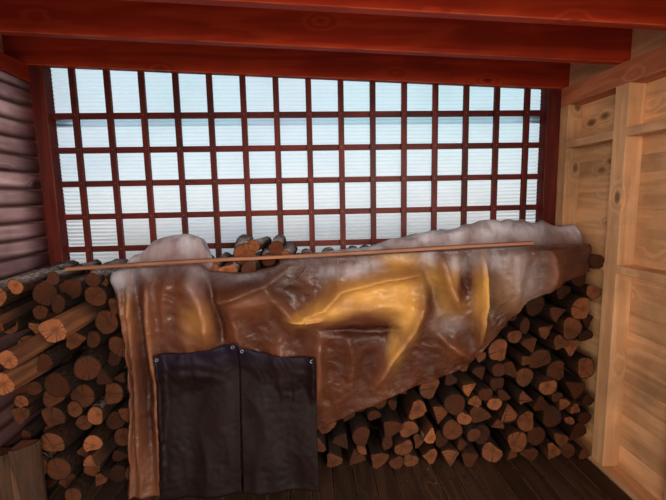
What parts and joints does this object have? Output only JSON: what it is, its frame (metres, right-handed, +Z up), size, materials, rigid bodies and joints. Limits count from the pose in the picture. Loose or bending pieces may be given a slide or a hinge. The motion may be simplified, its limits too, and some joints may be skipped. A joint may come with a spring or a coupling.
{
  "type": "log store",
  "caption": "Lean-to log store with an open front, half-log left wall, latticed back with a translucent ribbed sheet, and a covered stack of firewood.",
  "frame": {"origin": "centre of the footprint on the ground", "axes": "+X towards the low side of the roof, -Y out of the open front, +Z up"},
  "size_m": [3.671, 2.329, 2.7459],
  "materials": {
    "bearer_timber": "pressure-treated, rough sawn",
    "deck_timber": "dark brown deck stain, worn",
    "weathered_cladding": "grey-brown weathered stain",
    "plain_timber": "bare sawn softwood, aged tan",
    "stained_timber": "red-brown mahogany stain, satin",
    "ribbed_plastic": "translucent, finely ribbed",
    "roof_felt": "mineral roofing felt, charcoal",
    "firewood": "bark and sawn ends",
    "clear_film": "milky polyethylene film",
    "dark_tarp": "woven plastic tarpaulin, dark navy",
    "lath_timber": "bare orange-brown softwood"
  },
  "bodies": {
    "root": {"back_bottom_board": "stained_timber", "back_fascia": "stained_timber", "back_left_post": "stained_timber", "back_ribbed_sheet": "ribbed_plastic", "back_right_post": "stained_timber", "back_sill": "stained_timber", "dark_tarp_left": "dark_tarp", "dark_tarp_right": "dark_tarp", "deck_boards": "deck_timber", "eaves_blocking": "plain_timber", "eaves_fascia": "stained_timber", "firewood_far_left": "firewood", "firewood_far_right": "firewood", "firewood_left": "firewood", "firewood_middle_left": "firewood", "firewood_middle_right": "firewood", "firewood_on_top": "firewood", "firewood_right": "firewood", "floor_joists": "bearer_timber", "front_fascia": "stained_timber", "front_floor_board": "deck_timber", "ground_bearers": "bearer_timber", "lath": "lath_timber", "lattice_battens": "stained_timber", "lattice_rails": "stained_timber", "left_corner_trims": "stained_timber", "left_inner_cladding": "weathered_cladding", "left_ledger": "stained_timber", "left_outer_cladding": "weathered_cladding", "left_sole_plate": "plain_timber", "left_studs": "plain_timber", "left_top_plate": "plain_timber", "left_verge_board": "stained_timber", "plastic_sheet": "clear_film", "rafters": "stained_timber", "right_cladding": "weathered_cladding", "right_corner_trims": "stained_timber", "right_noggins": "plain_timber", "right_posts": "plain_timber", "right_sole_plate": "plain_timber", "right_wall_plate": "plain_timber", "roof_boards": "stained_timber", "roof_felt": "roof_felt", "upright_billets": "firewood"}
  },
  "joints": []
}
